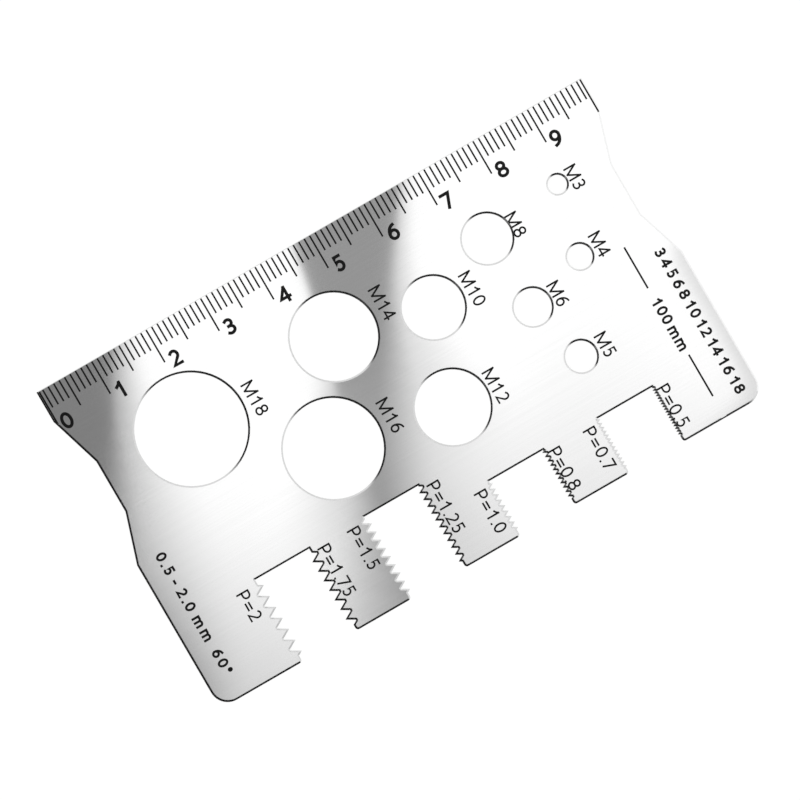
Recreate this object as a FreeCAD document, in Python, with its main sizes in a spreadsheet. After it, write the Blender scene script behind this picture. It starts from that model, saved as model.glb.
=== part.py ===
import FreeCAD, Part
import math
import os
import Sketcher

# Thread gauge: a flat steel plate with a ten centimetre ruler, ten screw-size holes
# and four notches whose side walls carry rows of 60 degree thread-form teeth.
# Frame: origin under the middle of the plate, X along the ruler from 0 to 10,
# Y towards the ruler edge, Z out of the marked face.

doc = FreeCAD.newDocument("thread_gauge")
sheet = doc.addObject("Spreadsheet::Sheet", "Sizes")

# Driving sizes in millimetres and degrees
SIZES = {
    "plate_length": 100,
    "plate_width": 58,
    "plate_thickness": 1,
    "edge_break": 0.2,
    "ruler_edge_break": 0.1,
    # Sides, from the ruler edge down: straight ear, slope in, straight waist, slope out
    "ear_height": 5.4,
    "upper_slope_height": 8.8,
    "waist_height": 9.2,
    "lower_slope_height": 8.3,
    "waist_inset": 2.7,
    "foot_radius": 3,
    # Notches, open at the edge opposite the ruler
    "foot_width": 15,
    "notch_width": 10,
    "tab_width": 10,
    "coarse_notch_depth": 15,
    "fine_notch_depth": 10,
    "mouth_radius": 0.5,
    # Thread form
    "thread_angle": 60,
    "tooth_height_share": 0.8,
    "tooth_heel": 0.6,
    "coarse_head_land": 1,
    "fine_head_land": 0.3,
    "least_head_land": 0.15,
    "least_mouth_land": 0.9,
    # Holes: diameter over the screw's nominal size
    "hole_clearance": 0.1,
    # Marks: grooves filled flush with the face
    "mark_depth": 0.05,
    "mark_width": 0.28,
    "mark_setback": 0.02,
    "mark_pitch": 1,
    "millimetre_mark_end": 3.35,
    "half_mark_end": 4.7,
    "first_half_mark_end": 5.25,
    "centimetre_mark_end": 6.05,
    "divider_width": 0.3,
    "upper_divider_inset": 7.7,
    "upper_divider_start": 26.65,
    "upper_divider_length": 7.5,
    "lower_divider_inset": 7.4,
    "lower_divider_start": 46.5,
    "lower_divider_length": 7.6,
}

# Tooth rows from the 0 end on: pitch, distance from the mouth to the last tip
TOOTH_ROWS = [
    (2, 1.57),
    (1.75, 2.37),
    (1.5, 1.47),
    (1.25, 1.37),
    (1, 1.4),
    (0.8, 1.67),
    (0.7, 1.27),
    (0.5, 1.45),
]

# Screw holes: nominal size, distance from the 0 end, distance from the ruler edge
SCREW_HOLES = [
    (18, 18.3, 17.3),
    (16, 36.3, 31.2),
    (14, 45.3, 15.9),
    (12, 56, 35),
    (10, 61.3, 19.8),
    (8, 74.2, 14.6),
    (6, 75, 27.6),
    (5, 77.7, 38.2),
    (4, 85.5, 24.4),
    (3, 88.2, 12.7),
]

for row, (pitch, mouth_land) in enumerate(TOOTH_ROWS, 1):
    SIZES[f"row_{row}_pitch"] = pitch
    SIZES[f"row_{row}_mouth_land"] = mouth_land
for nominal, from_end, from_ruler in SCREW_HOLES:
    SIZES[f"screw_{nominal}_size"] = nominal
    SIZES[f"screw_{nominal}_from_end"] = from_end
    SIZES[f"screw_{nominal}_from_ruler"] = from_ruler

for line, (name, value) in enumerate(SIZES.items(), 1):
    sheet.set(f"A{line}", name)
    sheet.set(f"B{line}", str(value))
    sheet.setAlias(f"B{line}", name)
doc.recompute()


def size(expression):
    """The value of an expression of sheet sizes, as a plain number."""
    value = sheet.evalExpression(expression)
    return float(getattr(value, "Value", value))


def cell(name):
    return f"Sizes.{name}"


def along(distance):
    """X of a point at a distance from the 0 end of the ruler."""
    return f"({distance} - Sizes.plate_length / 2)"


def down(distance):
    """Y of a point at a distance from the ruler edge."""
    return f"(Sizes.plate_width / 2 - ({distance}))"


def up(distance):
    """Y of a point at a distance from the edge opposite the ruler."""
    return f"({distance} - Sizes.plate_width / 2)"


def origin_feature(body, role):
    return next(f for f in body.Origin.OriginFeatures if f.Role == role)


def new_body(name):
    body = doc.addObject("PartDesign::Body", name)
    body.Label = name
    body.Placement = FreeCAD.Placement()
    return body


def new_sketch(body, name, height="0"):
    """A sketch parallel to the plate, at a height over its underside."""
    sketch = body.newObject("Sketcher::SketchObject", name)
    sketch.AttachmentSupport = [(origin_feature(body, "XY_Plane"), "")]
    sketch.MapMode = "FlatFace"
    sketch.setExpression("AttachmentOffset.Base.z", height)
    return sketch


def bind_point(sketch, geometry, corner, x, y):
    """Ties one end of a line, or a circle's centre, to its X and Y expressions."""
    for kind, expression in (("DistanceX", x), ("DistanceY", y)):
        value = size(expression)
        constraint = Sketcher.Constraint(kind, -1, 1, geometry, corner, value)
        number = sketch.addConstraint(constraint)
        sketch.setExpression(f"Constraints[{number}]", expression)


def add_outline(sketch, points):
    """A closed outline of straight lines through points given as expressions."""
    first = sketch.GeometryCount
    corners = [FreeCAD.Vector(size(x), size(y), 0) for x, y in points]
    count = len(corners)
    for i in range(count):
        line = Part.LineSegment(corners[i], corners[(i + 1) % count])
        sketch.addGeometry(line, False)
    for i in range(count):
        after = first + (i + 1) % count
        sketch.addConstraint(Sketcher.Constraint("Coincident", first + i, 2, after, 1))
    for i, (x, y) in enumerate(points):
        bind_point(sketch, first + i, 1, x, y)


def add_rectangle(sketch, x0, x1, y0, y1):
    add_outline(sketch, [(x0, y0), (x1, y0), (x1, y1), (x0, y1)])


def pad(body, sketch, name, length, taper=0, reverse=False):
    feature = body.newObject("PartDesign::Pad", name)
    feature.Profile = sketch
    feature.setExpression("Length", length)
    feature.TaperAngle = taper
    feature.Reversed = reverse
    doc.recompute()
    return feature


def pocket(body, sketch, name, length):
    """Cuts downwards from the sketch, and makes sure that something was cut."""
    before = body.Shape.Volume
    feature = body.newObject("PartDesign::Pocket", name)
    feature.Profile = sketch
    feature.setExpression("Length", length)
    doc.recompute()
    if feature.Shape.Volume >= before:
        raise RuntimeError(f"{name} cuts nothing")
    return feature


def repeat(body, originals, name, axis, spacing, count):
    """Repeats features along an axis of the body, at a spacing and as often as two expressions say."""
    pattern = body.newObject("PartDesign::LinearPattern", name)
    pattern.Originals = originals
    pattern.Direction = (origin_feature(body, axis), [""])
    pattern.Mode = "Spacing"
    pattern.setExpression("Offset", spacing)
    pattern.setExpression("Occurrences", count)
    body.Tip = pattern
    doc.recompute()
    return pattern


THICKNESS = cell("plate_thickness")
BREAK = cell("edge_break")
UPPER_FACE = THICKNESS
LOWER_SHOULDER = BREAK
UPPER_SHOULDER = f"({THICKNESS} - {BREAK})"
TANGENT = "tan(Sizes.thread_angle * 1 deg / 2)"
BREAK_ANGLE = -45


# Plate outline

plate = new_body("gauge_plate")

EAR = cell("ear_height")
SLOPE_END = f"{EAR} + Sizes.upper_slope_height"
WAIST_END = f"{SLOPE_END} + Sizes.waist_height"
LEG_START = f"{WAIST_END} + Sizes.lower_slope_height"
SIDE = [
    ("0", "0"),
    ("0", EAR),
    ("Sizes.waist_inset", SLOPE_END),
    ("Sizes.waist_inset", WAIST_END),
    ("0", LEG_START),
    ("0", "Sizes.plate_width"),
]
left_side = [(along(inset), down(depth)) for inset, depth in SIDE]
right_side = [(along(f"Sizes.plate_length - {inset}"), down(depth)) for inset, depth in SIDE]
outline = new_sketch(plate, "PlateOutline")
add_outline(outline, left_side + right_side[::-1])
pad(plate, outline, "PlatePad", THICKNESS)


def upright_edges(shape, places):
    """Names of the plate's vertical edges at the given X and Y places."""
    names = []
    for number, edge in enumerate(shape.Edges, 1):
        a, b = edge.Vertexes[0].Point, edge.Vertexes[-1].Point
        upright = abs(a.x - b.x) < 1e-6 and abs(a.y - b.y) < 1e-6
        if upright and any(math.hypot(a.x - x, a.y - y) < 1e-4 for x, y in places):
            names.append(f"Edge{number}")
    return names


def round_corners(base, places, name, radius):
    feature = plate.newObject("PartDesign::Fillet", name)
    feature.Base = (base, upright_edges(base.Shape, places))
    feature.setExpression("Radius", radius)
    doc.recompute()
    return feature


half_length = size("Sizes.plate_length / 2")
mouth_y = size("-Sizes.plate_width / 2")
feet = [(-half_length, mouth_y), (half_length, mouth_y)]
round_corners(plate.Tip, feet, "Feet", cell("foot_radius"))

# Notches, the first two deep for the coarse pitches, the last two shallow for the fine ones

NOTCH_COUNT = len(TOOTH_ROWS) // 2
notches = new_sketch(plate, "Notches", UPPER_FACE)
walls = []
for number in range(NOTCH_COUNT):
    coarse = number < NOTCH_COUNT / 2
    depth = "Sizes.coarse_notch_depth" if coarse else "Sizes.fine_notch_depth"
    head_land = "Sizes.coarse_head_land" if coarse else "Sizes.fine_head_land"
    start = f"Sizes.foot_width + {number} * (Sizes.notch_width + Sizes.tab_width)"
    end = f"{start} + Sizes.notch_width"
    add_rectangle(notches, along(start), along(end), up("0"), up(depth))
    walls.append((along(start), 1, depth, head_land))
    walls.append((along(end), -1, depth, head_land))
notch_cut = pocket(plate, notches, "NotchCut", THICKNESS)
mouths = [(size(x), mouth_y) for x, _, _, _ in walls]
round_corners(notch_cut, mouths, "Mouths", cell("mouth_radius"))


class ToothRow:
    """Where one row of teeth lies: its wall, its pitch, and how it ends. Lengths along the wall are
    measured from the mouth of the notch, and lengths across it from the wall into the notch."""

    def __init__(self, number, wall):
        self.name = f"Row{number}"
        self.wall, self.side, depth, head_land = wall
        self.pitch = cell(f"row_{number}_pitch")
        self.last_tip = cell(f"row_{number}_mouth_land")
        room = f"({depth} - {self.last_tip} - {head_land})"
        self.count = f"(floor({room} / {self.pitch}) + 1)"
        self.first_tip = f"({self.last_tip} + ({self.count} - 1) * {self.pitch})"
        self.reach = f"(Sizes.tooth_height_share * {self.pitch} / 2)"
        self.flank = f"({self.reach} * {TANGENT})"
        root_above = f"({self.first_tip} + {self.pitch} - {self.flank})"
        root_below = f"({self.last_tip} - {self.pitch} + {self.flank})"
        self.root_first = size(f"{depth} - {root_above} - Sizes.least_head_land") >= 0
        self.root_last = size(f"{root_below} - Sizes.least_mouth_land") >= 0
        self.top = root_above if self.root_first else self.first_tip
        self.bottom = root_below if self.root_last else self.last_tip

    def x(self, distance):
        return f"({self.wall} + ({self.side}) * ({distance}))"

    def set_back_outline(self):
        """The wall between its ends, taken back to the roots. An end is a flank where a root ends the row,
        and is square inside the last tooth where a tooth ends it."""
        root_top = f"({self.top} - {self.flank})" if self.root_first else self.top
        root_bottom = f"({self.bottom} + {self.flank})" if self.root_last else self.bottom
        return [
            (self.x("0"), up(self.top)),
            (self.x(f"-{self.reach}"), up(root_top)),
            (self.x(f"-{self.reach}"), up(root_bottom)),
            (self.x("0"), up(self.bottom)),
        ]

    def tooth_outline(self):
        """The last tooth: a sharp tip between two flanks that run on into the plate."""
        heel = f"({self.reach} + Sizes.tooth_heel)"
        half_width = f"(({self.reach} + {heel}) * {TANGENT})"
        return [
            (self.x(self.reach), up(self.last_tip)),
            (self.x(f"-{heel}"), up(f"{self.last_tip} + {half_width}")),
            (self.x(f"-{heel}"), up(f"{self.last_tip} - {half_width}")),
        ]


rows = [ToothRow(number, wall) for number, wall in enumerate(walls, 1)]

set_back = new_sketch(plate, "RootLines", UPPER_FACE)
for row in rows:
    add_outline(set_back, row.set_back_outline())
pocket(plate, set_back, "RootCut", THICKNESS)


# Screw holes

holes = new_sketch(plate, "ScrewHoles", UPPER_FACE)
for nominal, _, _ in SCREW_HOLES:
    x = along(cell(f"screw_{nominal}_from_end"))
    y = down(cell(f"screw_{nominal}_from_ruler"))
    radius = f"(Sizes.screw_{nominal}_size + Sizes.hole_clearance) / 2"
    centre = FreeCAD.Vector(size(x), size(y), 0)
    circle = holes.addGeometry(Part.Circle(centre, FreeCAD.Vector(0, 0, 1), size(radius)), False)
    bind_point(holes, circle, 3, x, y)
    number = holes.addConstraint(Sketcher.Constraint("Radius", circle, size(radius)))
    holes.setExpression(f"Constraints[{number}]", radius)
hole_cut = pocket(plate, holes, "HoleCut", THICKNESS)


# Broken edges all round both faces, slighter along the ruler, where the marks begin close to the edge

def rim_edges(shape, of_ruler):
    """Names of the edges round both faces: those along the ruler, or all the others."""
    heights = (0, size(THICKNESS))
    ruler_y = size(down("0"))
    names = []
    for number, edge in enumerate(shape.Edges, 1):
        box = edge.BoundBox
        in_face = box.ZLength < 1e-6 and any(abs(box.ZMin - height) < 1e-6 for height in heights)
        along_ruler = abs(box.YMin - ruler_y) < 1e-6
        if in_face and along_ruler == of_ruler:
            names.append(f"Edge{number}")
    return names


def break_edges(base, name, of_ruler, width):
    feature = plate.newObject("PartDesign::Chamfer", name)
    feature.Base = (base, rim_edges(base.Shape, of_ruler))
    feature.setExpression("Size", width)
    doc.recompute()
    return feature


edge_break = break_edges(hole_cut, "EdgeBreak", False, BREAK)
break_edges(edge_break, "RulerEdgeBreak", True, cell("ruler_edge_break"))


# Marks. A set is a group of equal marks that start at the ruler edge, repeated along the ruler if it has
# a spacing. The plate has a groove for each mark, and a filling of its own node lies flush in the groove.

MILLIMETRE = cell("mark_pitch")
CENTIMETRE = f"(10 * {MILLIMETRE})"
HALF_CENTIMETRE = f"({CENTIMETRE} / 2)"
MARK_START = "(Sizes.ruler_edge_break + Sizes.mark_setback)"
HALF_MARK = "Sizes.mark_width / 2"
END_INSET = f"(Sizes.edge_break + Sizes.mark_setback + {HALF_MARK})"
GROOVE_FLOOR = f"({THICKNESS} - Sizes.mark_depth)"


class MarkSet:
    def __init__(self, name, places, end, spacing=None, count=None):
        self.name = name
        self.boxes = [
            (along(f"{place} - {HALF_MARK}"), along(f"{place} + {HALF_MARK}"), down(end), down(MARK_START))
            for place in places
        ]
        self.spacing = spacing
        self.count = count


class Divider(MarkSet):
    """A thin line across the ruler's direction, placed from the far end of the plate."""

    def __init__(self, name):
        self.name = f"{name.capitalize()}Divider"
        middle = f"Sizes.plate_length - Sizes.{name}_divider_inset"
        half_width = "Sizes.divider_width / 2"
        start = f"Sizes.{name}_divider_start"
        end = f"{start} + Sizes.{name}_divider_length"
        left, right = along(f"{middle} - {half_width}"), along(f"{middle} + {half_width}")
        self.boxes = [(left, right, down(end), down(start))]
        self.spacing = None


MARKS = {
    "centimetre_marks": [
        MarkSet("End", [END_INSET, f"(Sizes.plate_length - {END_INSET})"], cell("centimetre_mark_end")),
        MarkSet(
            "Centimetre",
            [CENTIMETRE],
            cell("centimetre_mark_end"),
            CENTIMETRE,
            f"floor((Sizes.plate_length - 2 * {END_INSET}) / {CENTIMETRE})",
        ),
    ],
    "half_centimetre_marks": [
        MarkSet("FirstHalf", [HALF_CENTIMETRE], cell("first_half_mark_end")),
        MarkSet(
            "Half",
            [f"({CENTIMETRE} + {HALF_CENTIMETRE})"],
            cell("half_mark_end"),
            CENTIMETRE,
            f"floor((Sizes.plate_length - {HALF_CENTIMETRE}) / {CENTIMETRE})",
        ),
    ],
    "millimetre_marks": [
        MarkSet(
            "Millimetre",
            [f"{number} * {MILLIMETRE}" for number in (1, 2, 3, 4)],
            cell("millimetre_mark_end"),
            HALF_CENTIMETRE,
            f"floor(Sizes.plate_length / {HALF_CENTIMETRE})",
        ),
    ],
    "divider_lines": [Divider("upper"), Divider("lower")],
}


def draw_marks(body, marks, purpose, height, make):
    """Makes one set of marks in a body, as grooves or as fillings."""
    sketch = new_sketch(body, f"{marks.name}{purpose}Outline", height)
    for box in marks.boxes:
        add_rectangle(sketch, *box)
    feature = make(body, sketch, f"{marks.name}{purpose}", cell("mark_depth"))
    if marks.spacing:
        repeat(body, [feature], f"{marks.name}{purpose}s", "X_Axis", marks.spacing, marks.count)


def mark_filling(name):
    body = new_body(name)
    body.AllowCompound = True
    for marks in MARKS[name]:
        draw_marks(body, marks, "Filling", GROOVE_FLOOR, pad)
    return body


for sets in MARKS.values():
    for marks in sets:
        draw_marks(plate, marks, "Groove", UPPER_FACE, pocket)
fillings = [mark_filling(name) for name in MARKS]


# Teeth. Each has its own broken edges: a straight middle and two ends that taper like the edge break.
# A row is made by itself and then joined to the plate.

def tooth_row(row):
    body = new_body(row.name)
    lower = new_sketch(body, f"{row.name}LowerOutline", LOWER_SHOULDER)
    add_outline(lower, row.tooth_outline())
    upper = new_sketch(body, f"{row.name}UpperOutline", UPPER_SHOULDER)
    add_outline(upper, row.tooth_outline())
    tooth = [
        pad(body, lower, f"{row.name}Middle", f"{UPPER_SHOULDER} - {BREAK}"),
        pad(body, lower, f"{row.name}Underside", BREAK, taper=BREAK_ANGLE, reverse=True),
        pad(body, upper, f"{row.name}Face", BREAK, taper=BREAK_ANGLE),
    ]
    repeat(body, tooth, f"{row.name}Teeth", "Y_Axis", row.pitch, row.count)
    return body


teeth = plate.newObject("PartDesign::Boolean", "Teeth")
teeth.Type = "Fuse"
teeth.setObjects([tooth_row(row) for row in rows])
doc.recompute()


# Checks and export

NODES = [plate] + fillings

for item in doc.Objects:
    if "Invalid" in item.State or "Error" in item.State:
        raise RuntimeError(f"{item.Name} failed: {item.State}")
for node in NODES:
    if node.Shape.isNull() or not node.Shape.isValid():
        raise RuntimeError(f"{node.Label} has no valid shape")
if len(plate.Shape.Solids) != 1:
    raise RuntimeError("the plate is not one solid")

os.makedirs("parts", exist_ok=True)
for node in NODES:
    node.Shape.exportStep(f"parts/{node.Label}.step")
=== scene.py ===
import math

import bmesh
import bpy
from mathutils import Matrix, Vector


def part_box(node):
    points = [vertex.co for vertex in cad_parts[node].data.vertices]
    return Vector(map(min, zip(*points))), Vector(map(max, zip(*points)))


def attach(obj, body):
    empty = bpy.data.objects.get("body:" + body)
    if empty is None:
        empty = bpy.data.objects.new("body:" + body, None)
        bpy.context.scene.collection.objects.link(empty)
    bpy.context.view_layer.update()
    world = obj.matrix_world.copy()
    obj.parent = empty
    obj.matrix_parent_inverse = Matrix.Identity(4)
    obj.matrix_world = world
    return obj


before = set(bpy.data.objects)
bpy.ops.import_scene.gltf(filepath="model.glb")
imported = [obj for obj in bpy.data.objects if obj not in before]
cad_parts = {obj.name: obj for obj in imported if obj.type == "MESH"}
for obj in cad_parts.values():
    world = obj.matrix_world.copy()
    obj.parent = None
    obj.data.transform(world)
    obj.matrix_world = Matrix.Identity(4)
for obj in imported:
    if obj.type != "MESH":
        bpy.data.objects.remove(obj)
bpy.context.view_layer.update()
scene = bpy.context.scene

MM = 0.001
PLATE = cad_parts["gauge_plate"]
MARK_NODES = ("centimetre_marks", "half_centimetre_marks", "millimetre_marks", "divider_lines")
LOW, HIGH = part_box("gauge_plate")
CENTRE = (LOW + HIGH) / 2
FACE_Z = HIGH.z
INK_LIFT = 0.005 * MM

# The studio is square to the photograph: the plate lies turned in it by this angle
PLATE_TURN = math.radians(30.1)
STUDIO = Matrix.Rotation(-PLATE_TURN, 4, "Z")
# The photograph was taken a little from the lower left, not from straight above
LEAN = math.radians(5.7)
LEAN_TOWARDS = math.radians(232)
PX_PER_MM = 6.3165
VIEW_WIDTH_PX = 800
# Where the middle of the plate lies, right of and above the middle of the picture
CENTRE_RIGHT_PX = 1.2
CENTRE_UP_PX = 6.8


def on_face(x, y):
    """A point of the face, from the 0 end of the ruler and the ruler edge, in millimetres."""
    return Vector((LOW.x + x * MM, HIGH.y - y * MM, FACE_Z + INK_LIFT))


# Materials

def grey(tone):
    return tone, tone, tone, 1


class Nodes:
    """A short way to write a node tree."""

    def __init__(self, tree):
        self.tree = tree
        tree.nodes.clear()

    def add(self, kind, inputs=None, **settings):
        """A new node, with its settings, and its inputs by their names."""
        node = self.tree.nodes.new(kind)
        for name, value in settings.items():
            setattr(node, name, value)
        for name, value in (inputs or {}).items():
            self.plug(value, node.inputs[name])
        return node

    def plug(self, value, socket):
        """Links another node's output to a socket, or sets a plain value on it."""
        if isinstance(value, bpy.types.NodeSocket):
            self.tree.links.new(value, socket)
        else:
            socket.default_value = value

    def math(self, operation, a, b=0.0):
        node = self.add("ShaderNodeMath", operation=operation)
        self.plug(a, node.inputs[0])
        self.plug(b, node.inputs[1])
        return node.outputs[0]

    def vector_math(self, operation, a, b=(0, 0, 0)):
        node = self.add("ShaderNodeVectorMath", operation=operation)
        self.plug(a, node.inputs[0])
        self.plug(b, node.inputs[1])
        return node.outputs[0]

    def remap(self, value, low, high, to_low=0.0, to_high=1.0):
        """A soft step from one value to another, where the input runs from low to high."""
        values = {"Value": value, "From Min": low, "From Max": high, "To Min": to_low, "To Max": to_high}
        return self.add("ShaderNodeMapRange", values, interpolation_type="SMOOTHSTEP").outputs[0]

    def noise(self, coordinates, scale, stretch=(1, 1, 1), detail=2.0):
        mapping = self.add("ShaderNodeMapping", {"Vector": coordinates, "Scale": stretch})
        values = {"Vector": mapping.outputs[0], "Scale": scale, "Detail": detail}
        return self.add("ShaderNodeTexNoise", values).outputs["Fac"]

    def blend(self, factor, first, second):
        node = self.add("ShaderNodeMix", data_type="RGBA")
        self.plug(factor, node.inputs["Factor"])
        self.plug(first, node.inputs["A"])
        self.plug(second, node.inputs["B"])
        return node.outputs["Result"]

    def mix_shaders(self, factor, first, second):
        node = self.add("ShaderNodeMixShader", {"Fac": factor})
        self.plug(first.outputs[0], node.inputs[1])
        self.plug(second.outputs[0], node.inputs[2])
        return node

    def finish(self, shader):
        self.add("ShaderNodeOutputMaterial", {"Surface": shader.outputs[0]})


def new_material(name):
    material = bpy.data.materials.new(name)
    material.use_nodes = True
    return material, Nodes(material.node_tree)


# The broken edges roll over into the face. Their rise against their width makes them mirror things a little
# above the horizon. The filled marks have no broken edges, so the face stays flat in the strips of the ruler
# and the dividers.
EDGE_ROLL = 0.2 * MM
EDGE_RISE = (1, 1, 1.15)
EDGE_SAMPLES = 8
LEAST_TILT = 0.03
SIDEWAYS_ONLY = (1, 1, 0)
UPWARD_ONLY = (0, 0, 1)
RULER_FOOT_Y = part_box("centimetre_marks")[0].y - EDGE_ROLL
DIVIDER_LEFT, DIVIDER_RIGHT = (corner.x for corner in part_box("divider_lines"))
DIVIDER_X = (DIVIDER_LEFT + DIVIDER_RIGHT) / 2
DIVIDER_ROOM = (DIVIDER_RIGHT - DIVIDER_LEFT) / 2 + EDGE_ROLL


def rolled_normal(nodes, where, polished):
    """The direction in which the steel mirrors, tilted where an edge is near."""
    true_normal = nodes.add("ShaderNodeNewGeometry").outputs["Normal"]
    near_edge = nodes.add("ShaderNodeBevel", {"Radius": EDGE_ROLL}, samples=EDGE_SAMPLES).outputs[0]
    sideways = nodes.vector_math("MULTIPLY", near_edge, SIDEWAYS_ONLY)
    tilt = nodes.add("ShaderNodeVectorMath", {0: sideways}, operation="LENGTH").outputs["Value"]

    spot = nodes.add("ShaderNodeSeparateXYZ", {"Vector": where})
    from_dividers = nodes.math("ABSOLUTE", nodes.math("SUBTRACT", spot.outputs["X"], DIVIDER_X))
    share = nodes.math("MULTIPLY", polished, nodes.math("GREATER_THAN", tilt, LEAST_TILT))
    share = nodes.math("MULTIPLY", share, nodes.math("GREATER_THAN", from_dividers, DIVIDER_ROOM))
    share = nodes.math("MULTIPLY", share, nodes.math("LESS_THAN", spot.outputs["Y"], RULER_FOOT_Y))

    upright = nodes.vector_math("NORMALIZE", nodes.vector_math("MULTIPLY", true_normal, UPWARD_ONLY))
    rise = nodes.vector_math("MULTIPLY", upright, EDGE_RISE)
    rolled = nodes.vector_math("ADD", nodes.vector_math("NORMALIZE", sideways), rise)
    plain = nodes.vector_math("MULTIPLY", true_normal, EDGE_RISE)
    both = nodes.add("ShaderNodeMix", {"Factor": share, "A": plain, "B": rolled}, data_type="VECTOR")
    return nodes.vector_math("NORMALIZE", both.outputs["Result"])


# Most of a noise lies between these two values
NOISE_LOW = 0.3
NOISE_HIGH = 0.7
# How upright a surface is: up to the first share it is cut, and from the second on it is rolled
CUT_UPRIGHT = 0.3
ROLLED_UPRIGHT = 0.6
HAIRLINE_SCALE = 900.0
HAIRLINE_STRETCH = (0.03, 3.0, 1.0)
HAIRLINE_DETAIL = 3.0
HAIRLINE_STRENGTH = 0.02
HAIRLINE_DEPTH = 0.01 * MM
CLOUD_SCALE = 60.0
CUT_MARK_SCALE = 2500.0
CUT_MARK_STRETCH = (1.0, 1.0, 0.2)
FACE_TONES = (grey(0.79), grey(0.81))
FACE_ROUGHNESS = (0.11, 0.13)
CUT_TONES = (grey(0.2), grey(0.28))
CUT_ROUGHNESS = (0.25, 0.35)


def steel_material():
    """Bright rolled sheet steel, with hairlines along the ruler, and duller where the sheet was cut."""
    material, nodes = new_material("stainless_steel")
    place = nodes.add("ShaderNodeTexCoord")
    where = place.outputs["Object"]
    normal = nodes.add("ShaderNodeSeparateXYZ", {"Vector": place.outputs["Normal"]})
    level = nodes.math("ABSOLUTE", normal.outputs["Z"])
    polished = nodes.remap(level, CUT_UPRIGHT, ROLLED_UPRIGHT)

    hairlines = nodes.noise(where, HAIRLINE_SCALE, HAIRLINE_STRETCH, HAIRLINE_DETAIL)
    clouds = nodes.noise(where, CLOUD_SCALE)
    cut_marks = nodes.noise(where, CUT_MARK_SCALE, CUT_MARK_STRETCH)

    face_tone = nodes.remap(hairlines, NOISE_LOW, NOISE_HIGH)
    face_colour = nodes.blend(face_tone, *FACE_TONES)
    cut_colour = nodes.blend(cut_marks, *CUT_TONES)
    colour = nodes.blend(polished, cut_colour, face_colour)
    glancing = nodes.blend(polished, grey(0), grey(1))

    face_rough = nodes.remap(clouds, NOISE_LOW, NOISE_HIGH, *FACE_ROUGHNESS)
    cut_rough = nodes.remap(cut_marks, NOISE_LOW, NOISE_HIGH, *CUT_ROUGHNESS)
    rough = nodes.add("ShaderNodeMix", {"Factor": polished, "A": cut_rough, "B": face_rough}).outputs[0]

    raised = rolled_normal(nodes, where, polished)
    bump = nodes.add("ShaderNodeBump", {
        "Height": hairlines, "Strength": HAIRLINE_STRENGTH, "Distance": HAIRLINE_DEPTH, "Normal": raised,
    })
    shader = nodes.add("ShaderNodeBsdfPrincipled", {
        "Base Color": colour, "Roughness": rough, "Normal": bump.outputs[0], "Metallic": 1.0,
        "Specular Tint": glancing,
    })
    nodes.finish(shader)
    return material


INK_GRAIN_SCALE = 6000.0
# The filling turns from full to thin between these two values of its grain
THIN_FROM = 0.35
THIN_TO = 0.7
INK_TONES = (grey(0.003), grey(0.009))
INK_ROUGHNESS = (0.5, 0.65)
INK_SHINE = 0.1


def ink_material():
    """Matt black filling, a little greyer where it is thin."""
    material, nodes = new_material("black_fill")
    where = nodes.add("ShaderNodeTexCoord").outputs["Object"]
    grain = nodes.noise(where, INK_GRAIN_SCALE)
    thin = nodes.remap(grain, THIN_FROM, THIN_TO)
    colour = nodes.blend(thin, *INK_TONES)
    rough = nodes.remap(grain, NOISE_LOW, NOISE_HIGH, *INK_ROUGHNESS)
    shader = nodes.add(
        "ShaderNodeBsdfPrincipled",
        {"Base Color": colour, "Roughness": rough, "Specular IOR Level": INK_SHINE},
    )
    nodes.finish(shader)
    return material


STEEL = steel_material()
INK = ink_material()


def dress(node, material):
    """Gives a node of the frame its material."""
    node.data.materials.clear()
    node.data.materials.append(material)


dress(PLATE, STEEL)
for name in MARK_NODES:
    dress(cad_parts[name], INK)


# Lettering. Each sign is drawn with a flat pen along its centre lines, in a box one capital letter high.

ARC_STEP = 12
LEAST_ARC_STEPS = 6
# Ends of a stroke that are nearer than this share of the pen's width are joined
JOIN_SHARE = 0.01
# Keeps the corner of two strokes that fold back on each other finite
LEAST_COSINE = 0.1
# Strokes that cross lie this much over each other, in millimetres, so that the lower one doesn't flicker
# through
STROKE_STEP = 0.001


def arc(x, y, across, upward, start, end):
    """Points along an ellipse between two angles in degrees."""
    steps = max(LEAST_ARC_STEPS, round(abs(end - start) / ARC_STEP))
    angles = [math.radians(start + (end - start) * i / steps) for i in range(steps + 1)]
    return [(x + across * math.cos(a), y + upward * math.sin(a)) for a in angles]


def ring(x, y, across, upward):
    """Points round a whole ellipse."""
    return arc(x, y, across, upward, 0, 360)


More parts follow.
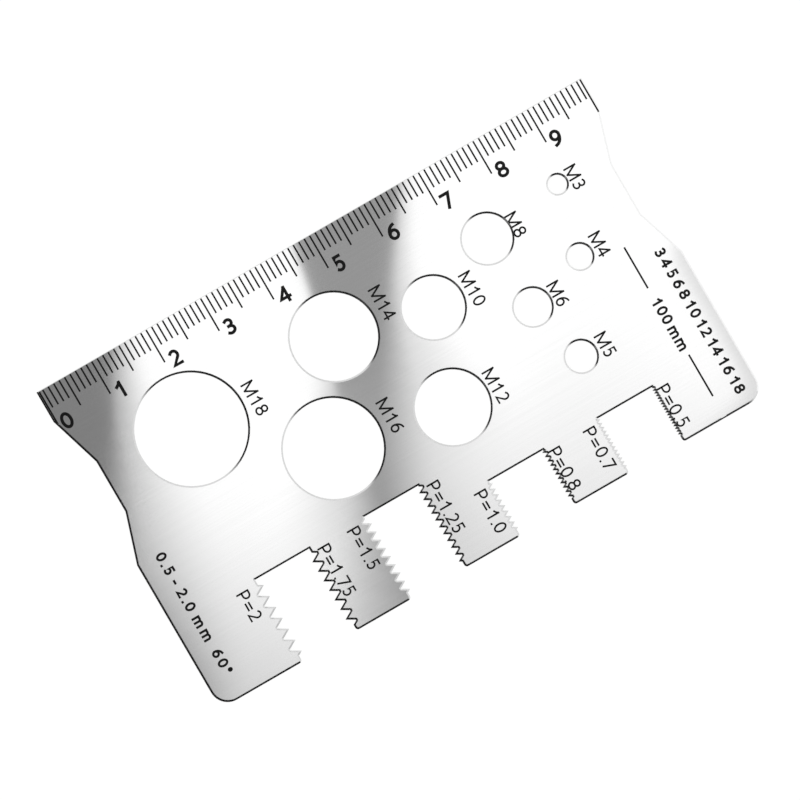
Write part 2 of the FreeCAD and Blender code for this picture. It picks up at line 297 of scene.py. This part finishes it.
# Each sign: room before it, width between its outer centre lines, room after it, all as shares of the
# letters' height, and strokes across that width and height from (0, 0) to (1, 1)
SIX = [ring(0.5, 0.31, 0.5, 0.31), arc(1.0, 0.31, 1.0, 0.69, 180, 98)]
NINE = [[(1 - x, 1 - y) for x, y in stroke] for stroke in SIX]
SIGNS = {
    "0": (0.07, 0.52, 0.06, [ring(0.5, 0.5, 0.5, 0.5)]),
    "1": (0.15, 0.24, 0.25, [[(0, 0.74), (0.55, 0.84), (0.85, 0.94)], [(1, 1), (1, 0)]]),
    "2": (0.09, 0.47, 0.09, [arc(0.48, 0.7, 0.48, 0.3, 138, -38) + [(0, 0), (1, 0)]]),
    "3": (0.1, 0.42, 0.1, [
        arc(0.45, 0.76, 0.5, 0.24, 132, -90) + [(0.35, 0.52)],
        arc(0.42, 0.26, 0.58, 0.26, 75, -132),
    ]),
    "4": (0.02, 0.56, 0.07, [[(0.76, 0), (0.76, 1)], [(0.68, 0.93), (0.0, 0.27), (1, 0.27)]]),
    "5": (0.1, 0.42, 0.1, [[(0.92, 1), (0.18, 1), (0.1, 0.52)] + arc(0.44, 0.31, 0.56, 0.31, 120, -128)]),
    "6": (0.1, 0.475, 0.09, SIX),
    "7": (0.08, 0.48, 0.08, [[(0, 1), (1, 1), (0.34, 0)]]),
    "8": (0.07, 0.505, 0.07, [ring(0.5, 0.76, 0.43, 0.24), ring(0.5, 0.26, 0.5, 0.26)]),
    "9": (0.09, 0.475, 0.1, NINE),
    "M": (0.1, 0.885, 0.1, [
        [(0, 0), (0, 1)], [(0.03, 0.95), (0.5, 0.03)], [(0.5, 0.03), (0.97, 0.95)], [(1, 1), (1, 0)],
    ]),
    "P": (0.1, 0.505, 0.1, [[(0, 0), (0, 1), (0.45, 1)] + arc(0.48, 0.7, 0.52, 0.3, 90, -90) + [(0, 0.4)]]),
    "m": (0.1, 0.82, 0.1, [
        [(0, 0), (0, 0.72)],
        [(0, 0.5)] + arc(0.25, 0.5, 0.25, 0.22, 180, 0) + [(0.5, 0)],
        [(0.5, 0.5)] + arc(0.75, 0.5, 0.25, 0.22, 180, 0) + [(1, 0)],
    ]),
    "=": (0.1, 0.49, 0.1, [[(0, 0.25), (1, 0.25)], [(0, 0.56), (1, 0.56)]]),
    "-": (0.05, 0.22, 0.05, [[(0, 0.36), (1, 0.36)]]),
    ".": (0.08, 0.01, 0.05, [[(0, 0), (1, 0)]]),
    "°": (0.08, 0.2, 0.08, [ring(0.5, 0.84, 0.5, 0.16)]),
    " ": (0.0, 0.0, 0.2, []),
}


def pen_line(mesh, points, pen):
    """A flat band of the pen's width along the points, with square ends."""
    closed = (points[0] - points[-1]).length < pen * JOIN_SHARE
    if closed:
        points = points[:-1]
    else:
        first = (points[0] - points[1]).normalized()
        last = (points[-1] - points[-2]).normalized()
        points = [points[0] + first * pen / 2] + points[1:-1] + [points[-1] + last * pen / 2]
    count = len(points)
    sides = []
    for i, point in enumerate(points):
        before = points[i - 1] if closed or i > 0 else None
        after = points[(i + 1) % count] if closed or i < count - 1 else None
        towards = (after - point).normalized() if after else (point - before).normalized()
        along = (point - before).normalized() if before else towards
        middle = (along + towards).normalized()
        across = Vector((-middle.y, middle.x, 0))
        square = Vector((-towards.y, towards.x, 0))
        reach = min(pen / 2 / max(across.dot(square), LEAST_COSINE), pen)
        one_side = mesh.verts.new(point + across * reach)
        other_side = mesh.verts.new(point - across * reach)
        sides.append((one_side, other_side))
    for i in range(count if closed else count - 1):
        (a, b), (c, d) = sides[i], sides[(i + 1) % count]
        mesh.faces.new((a, b, d, c))


def write(mesh, words, start, height, pen, turned=False, spread=1.0):
    """Writes words from a point of the face, along the ruler, or down from it if turned."""
    turn = Matrix.Rotation(-math.pi / 2, 3, "Z") if turned else Matrix.Identity(3)
    place = -SIGNS[words[0]][0] * height * spread
    for letter in words:
        before, wide, after, strokes = SIGNS[letter]
        side = pen / 2 if strokes else 0
        place += before * height * spread + side
        for layer, stroke in enumerate(strokes):
            line = []
            for x, y in stroke:
                upward = pen / 2 + y * (height - pen)
                flat = Vector((place + x * wide * height, upward, layer * STROKE_STEP)) * MM
                line.append(start + turn @ flat)
            pen_line(mesh, line, pen * MM)
        place += wide * height + side + after * height * spread


def trim(mesh, centre, radius):
    """Cuts the lettering away inside a round rim."""
    bmesh.ops.split_edges(mesh, edges=mesh.edges[:])
    for face in mesh.faces[:]:
        outward = face.calc_center_median() - centre
        outward.z = 0
        outward.normalize()
        bmesh.ops.bisect_plane(
            mesh, geom=[face, *face.edges, *face.verts], plane_co=centre + outward * radius,
            plane_no=outward, clear_inner=True,
        )


def finish_lettering(name, mesh):
    """Turns the drawn letters into a piece that lies face up on the plate."""
    data = bpy.data.meshes.new(name)
    for face in mesh.faces:
        face.normal_update()
        if face.normal.z < 0:
            face.normal_flip()
    mesh.to_mesh(data)
    mesh.free()
    data.materials.append(INK)
    piece = bpy.data.objects.new(name, data)
    scene.collection.objects.link(piece)
    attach(piece, "root")


# Ruler numbers: place of each number's left side, from the 0 end
NUMBER_HEIGHT = 2.74
NUMBER_PEN = 0.52
NUMBER_FOOT = 7.59
RULER_NUMBERS = [
    ("0", 0.92), ("1", 11.1), ("2", 20.9), ("3", 30.97), ("4", 40.77),
    ("5", 51.01), ("6", 60.87), ("7", 70.81), ("8", 80.8), ("9", 90.79),
]
numbers = bmesh.new()
for words, x in RULER_NUMBERS:
    write(numbers, words, on_face(x, NUMBER_FOOT), NUMBER_HEIGHT, NUMBER_PEN)
finish_lettering("ruler_numbers", numbers)

# Size labels, read down from the ruler edge: foot of the letters from the 0 end, and their start from the
# ruler
LABEL_HEIGHT = 2.18
LABEL_PEN = 0.3
HOLE_LABELS = [
    ("M18", 28.43, 15.24), ("M16", 45.61, 28.31), ("M14", 53.54, 12.26), ("M12", 62.58, 32.6),
    ("M10", 67.07, 17.43), ("M8", 78.13, 12.94), ("M6", 78.42, 25.76), ("M5", 80.88, 36.52),
    ("M4", 88.1, 22.27), ("M3", 90.08, 11.14),
]
PITCH_LABELS = [
    ("P=2", 11.08, 43.68), ("P=1.75", 25.95, 43.74), ("P=1.5", 31.39, 43.68), ("P=1.25", 46.0, 43.68),
    ("P=1.0", 51.79, 48.66), ("P=0.8", 65.41, 48.66), ("P=0.7", 71.78, 48.66), ("P=0.5", 85.33, 48.66),
]
# The rim of the M8 hole cuts off the feet of its label
M8_CENTRE = on_face(74.2, 14.6)
M8_RIM = 4.25 * MM
for name, labels in (("hole_labels", HOLE_LABELS), ("pitch_labels", PITCH_LABELS)):
    mesh = bmesh.new()
    for words, x, y in labels:
        write(mesh, words, on_face(x, y), LABEL_HEIGHT, LABEL_PEN, turned=True)
    trim(mesh, M8_CENTRE, M8_RIM)
    finish_lettering(name, mesh)

# Plain size ranges in bold, at the two ends of the face: foot of the letters from the 0 end, their start
# from the ruler, their height, and how far the room between them is spread
RANGE_PEN = 0.38
RANGES = [
    ("0.5 - 2.0 mm  60°", 3.05, 31.8, 1.8, 1.7),
    ("3 4 5 6 8 10 12 14 16 18", 95.95, 29.65, 1.85, 0.96),
    ("100 mm", 91.55, 36.3, 1.85, 0.98),
]
ranges = bmesh.new()
for words, x, y, height, spread in RANGES:
    write(ranges, words, on_face(x, y), height, RANGE_PEN, turned=True, spread=spread)
finish_lettering("size_ranges", ranges)


# Camera, with no perspective

CAMERA_DISTANCE = 0.6
NEAREST_SEEN = 0.01
FARTHEST_SEEN = 10
camera = bpy.data.cameras.new("camera")
camera.type = "ORTHO"
camera.ortho_scale = VIEW_WIDTH_PX / PX_PER_MM * MM
camera.clip_start = NEAREST_SEEN
camera.clip_end = FARTHEST_SEEN
camera_object = bpy.data.objects.new("camera", camera)
lean_axis = Vector((-math.sin(LEAN_TOWARDS), math.cos(LEAN_TOWARDS), 0))
camera_turn = STUDIO @ Matrix.Rotation(LEAN, 4, lean_axis)
aside = Vector((-CENTRE_RIGHT_PX, -CENTRE_UP_PX, 0)) / PX_PER_MM * MM
camera_place = Matrix.Translation(aside + Vector((0, 0, CAMERA_DISTANCE)))
camera_object.matrix_world = Matrix.Translation((CENTRE.x, CENTRE.y, FACE_Z)) @ camera_turn @ camera_place
scene.collection.objects.link(camera_object)
scene.camera = camera_object


# Studio: a white world, a white floor, and cards that only show in the steel

world = bpy.data.worlds.new("studio")
world.use_nodes = True
sky = Nodes(world.node_tree)
white = sky.add("ShaderNodeBackground", {"Color": grey(1)})
sky.add("ShaderNodeOutputWorld", {"Surface": white.outputs[0]})
scene.world = world

SPECKLE_SCALE = 300.0
FLOOR_TONES = (grey(0.9), grey(0.92))
# The even white that weakens the floor's shadow, and its share
EVEN_TONE = 1.06
EVEN_SHARE = 0.88


def floor_material():
    """White. The camera sees the floor's shadow weakened by an even white."""
    material, nodes = new_material("floor")
    light_path = nodes.add("ShaderNodeLightPath")
    speckle = nodes.noise(nodes.add("ShaderNodeTexCoord").outputs["Object"], SPECKLE_SCALE)
    colour = nodes.blend(speckle, *FLOOR_TONES)
    lit = nodes.add("ShaderNodeBsdfDiffuse", {"Color": colour})
    even = nodes.add("ShaderNodeEmission", {"Color": grey(EVEN_TONE)})
    share = nodes.math("MULTIPLY", light_path.outputs["Is Camera Ray"], EVEN_SHARE)
    nodes.finish(nodes.mix_shaders(share, lit, even))
    return material


def card_material(name, tone):
    """A card of one even tone that fades out where its cover is nil."""
    material, nodes = new_material(name)
    cover = nodes.add("ShaderNodeAttribute", attribute_name="cover").outputs["Fac"]
    soft = nodes.remap(cover, 0.0, 1.0)
    clear = nodes.add("ShaderNodeBsdfTransparent")
    glow = nodes.add("ShaderNodeEmission", {"Color": grey(tone)})
    nodes.finish(nodes.mix_shaders(soft, clear, glow))
    return material


def stage_object(name, points, faces, material, covers=None):
    """A piece of the studio, from points in studio millimetres about the middle of the plate."""
    data = bpy.data.meshes.new(name)
    data.from_pydata([Vector(p) * MM for p in points], [], faces)
    if covers:
        attribute = data.attributes.new("cover", "FLOAT", "POINT")
        attribute.data.foreach_set("value", covers)
    data.materials.append(material)
    piece = bpy.data.objects.new(name, data)
    piece.matrix_world = Matrix.Translation((CENTRE.x, CENTRE.y, 0)) @ STUDIO
    scene.collection.objects.link(piece)
    return piece


FLOOR_REACH = 1500
FLOOR_Z = -0.05
CORNERS = [(-1, -1), (1, -1), (1, 1), (-1, 1)]
floor_points = [(x * FLOOR_REACH, y * FLOOR_REACH, FLOOR_Z) for x, y in CORNERS]
stage_object("floor", floor_points, [(0, 1, 2, 3)], floor_material())


def card(name, tone, grid):
    """A card that only the steel mirrors, from rows of points and how much of the card is there."""
    width = len(grid[0])
    points = [point for row in grid for point, _ in row]
    covers = [float(cover) for row in grid for _, cover in row]
    faces = []
    for i in range(len(grid) - 1):
        for j in range(width - 1):
            a = i * width + j
            faces.append((a, a + 1, a + width + 1, a + width))
    piece = stage_object(name, points, faces, card_material(name, tone), covers)
    piece.visible_camera = False
    piece.visible_diffuse = False
    piece.visible_shadow = False
    piece.visible_transmission = False
    piece.visible_volume_scatter = False


CURVE_STEPS = 6


def smooth_curve(points):
    """A curve through the points."""
    ends = [points[0]] + points + [points[-1]]
    curve = []
    for before, start, end, after in zip(ends, ends[1:], ends[2:], ends[3:]):
        for i in range(CURVE_STEPS):
            t = i / CURVE_STEPS
            bend = (end - before) * t + (2 * before - 5 * start + 4 * end - after) * t**2
            curve.append(start + (bend + (3 * start - before - 3 * end + after) * t**3) / 2)
    return curve + [points[-1]]


def mirrored_at(right, up, height):
    """The point at a height that the face mirrors at a place right of and above the photograph's middle."""
    away = height * math.tan(LEAN)
    return right - away * math.cos(LEAN_TOWARDS), up - away * math.sin(LEAN_TOWARDS), height


WHITE_TONE = 1.28
WHITE_HEIGHT = 46
WHITE_RIGHT = (-66, 66)
WHITE_UP = (-60, 60)
white_rows = [[(mirrored_at(x, y, WHITE_HEIGHT), 1) for x in WHITE_RIGHT] for y in WHITE_UP]
card("white_card", WHITE_TONE, white_rows)

# Shades over the plate: name, height, tone, stations and edges. The lowest is seen first. The edges are given
# at the stations, right and up from the middle of the plate as the photograph shows it, and each edge says
# how much of the shade is there, with one number or with one for each station.
UPWARD = (60, 34, 15, -4, -23, -46, -60)
ACROSS = (-70, -50, -25, 0, 25, 50, 70)
RIGHT_LEG_UPWARD = (25, 21, 8, 2, -2, -6)
CORE_COVER = (1, 1, 1, 0.76, 0.88, 1, 1)
SHADES = [
    ("bottom_shade", 44, 0.75, ACROSS, [
        (1, (-75, -75, -75, -75, -75, -75, -75)),
        (1, (-61.5, -61.5, -59, -63.5, -59.5, -35.5, -35.5)),
        (0, (-5, -5, -8.5, -20.5, 23, 11.5, 11.5)),
    ]),
    ("left_haze", 43, 0.22, UPWARD, [
        (1, (-75, -75, -75, -75, -75, -75, -75)),
        (1, (-45.5, -45.5, -46.5, -50.5, -55, -38.5, -38.5)),
        (0, (-45.5, -45.5, -44.5, -36.5, -27, -23, -23)),
    ]),
    ("left_core", 27, 0.25, UPWARD, [
        (1, (-75, -75, -75, -75, -75, -75, -75)),
        (1, (-47, -47, -45.9, -46.7, -50.2, -45, -45)),
        (0, (-46.5, -46.5, -45.6, -44.9, -40, -44.5, -44.5)),
    ]),
    ("middle_haze", 41, 0.8, UPWARD, [
        (0, (-19, -19, -14, -16, -22.5, -20.5, -20.5)),
        (1, (-14, -14, -9, -10, -4, 3.5, 3.5)),
        (1, (-0.5, -0.5, -2, -5.5, 4, 8, 8)),
        (0, (2, 2, 5, 23, 26.5, 46.5, 46.5)),
    ]),
    ("middle_core", 25, 0.355, UPWARD, [
        (0, (-20.4, -20.4, -15, -10.5, -10.7, -18.5, -18.5)),
        (CORE_COVER, (-19.6, -19.6, -13.6, -8.5, -1, 10, 10)),
        (CORE_COVER, (-0.8, -0.8, -3.3, -3.6, -1, 11.5, 11.5)),
        (0, (0.2, 0.2, 0.2, 5, 7, 14, 14)),
    ]),
    ("right_leg_shade", 43, 0.87, RIGHT_LEG_UPWARD, [
        (0, (43.6, 42.3, 49.7, 52.8, 51.1, 46)),
        (1, (45, 45, 52.4, 55.5, 55, 48.8)),
        (1, (48, 48, 56, 60, 60, 55)),
    ]),
]
for name, height, tone, stations, edges in SHADES:
    columns = []
    for cover, places in edges:
        covers = cover if isinstance(cover, tuple) else (cover,) * len(stations)
        rights, ups = (stations, places) if stations is ACROSS else (places, stations)
        curve = smooth_curve([Vector(point) for point in zip(rights, ups, covers)])
        columns.append([(mirrored_at(right, up, height), share) for right, up, share in curve])
    card(name, tone, list(zip(*columns)))

# Walls round the plate, mirrored by its broken edges: heights, and how much of a wall is there
WALL_STEPS = 36
WALL_PROFILE = ((0, 1), (110, 1), (170, 0))
# Name, tone, radius, the middle and half of the part of the round that the wall covers, in degrees, and over
# how many degrees its ends fade
WALLS = [
    ("grey_wall", 0.87, 310, 52, 180, 0),
    ("dark_wall", 0.008, 300, 231, 105, 24),
]


def wall(name, tone, radius, middle, half_angle, fade):
    """A card bent round the plate."""
    grid = []
    for height, strength in WALL_PROFILE:
        row = []
        for i in range(WALL_STEPS + 1):
            off_middle = half_angle * (2 * i / WALL_STEPS - 1)
            angle = math.radians(middle + off_middle)
            end_share = min(1, (half_angle - abs(off_middle)) / fade) if fade else 1
            point = (radius * math.cos(angle), radius * math.sin(angle), height)
            row.append((point, strength * end_share))
        grid.append(row)
    card(name, tone, grid)


# A low bright strip along the right edge, so that the edges nearest to it don't show
STRIP_TONE = 1.15
STRIP_ENDS = ((31.4, 57.5), (65, -0.5))
STRIP_LEVELS = (0, 2.2)
strip_rows = [[((*end, height), 1) for end in STRIP_ENDS] for height in STRIP_LEVELS]
card("bright_strip", STRIP_TONE, strip_rows)

for settings in WALLS:
    wall(*settings)

scene.view_settings.view_transform = "Standard"
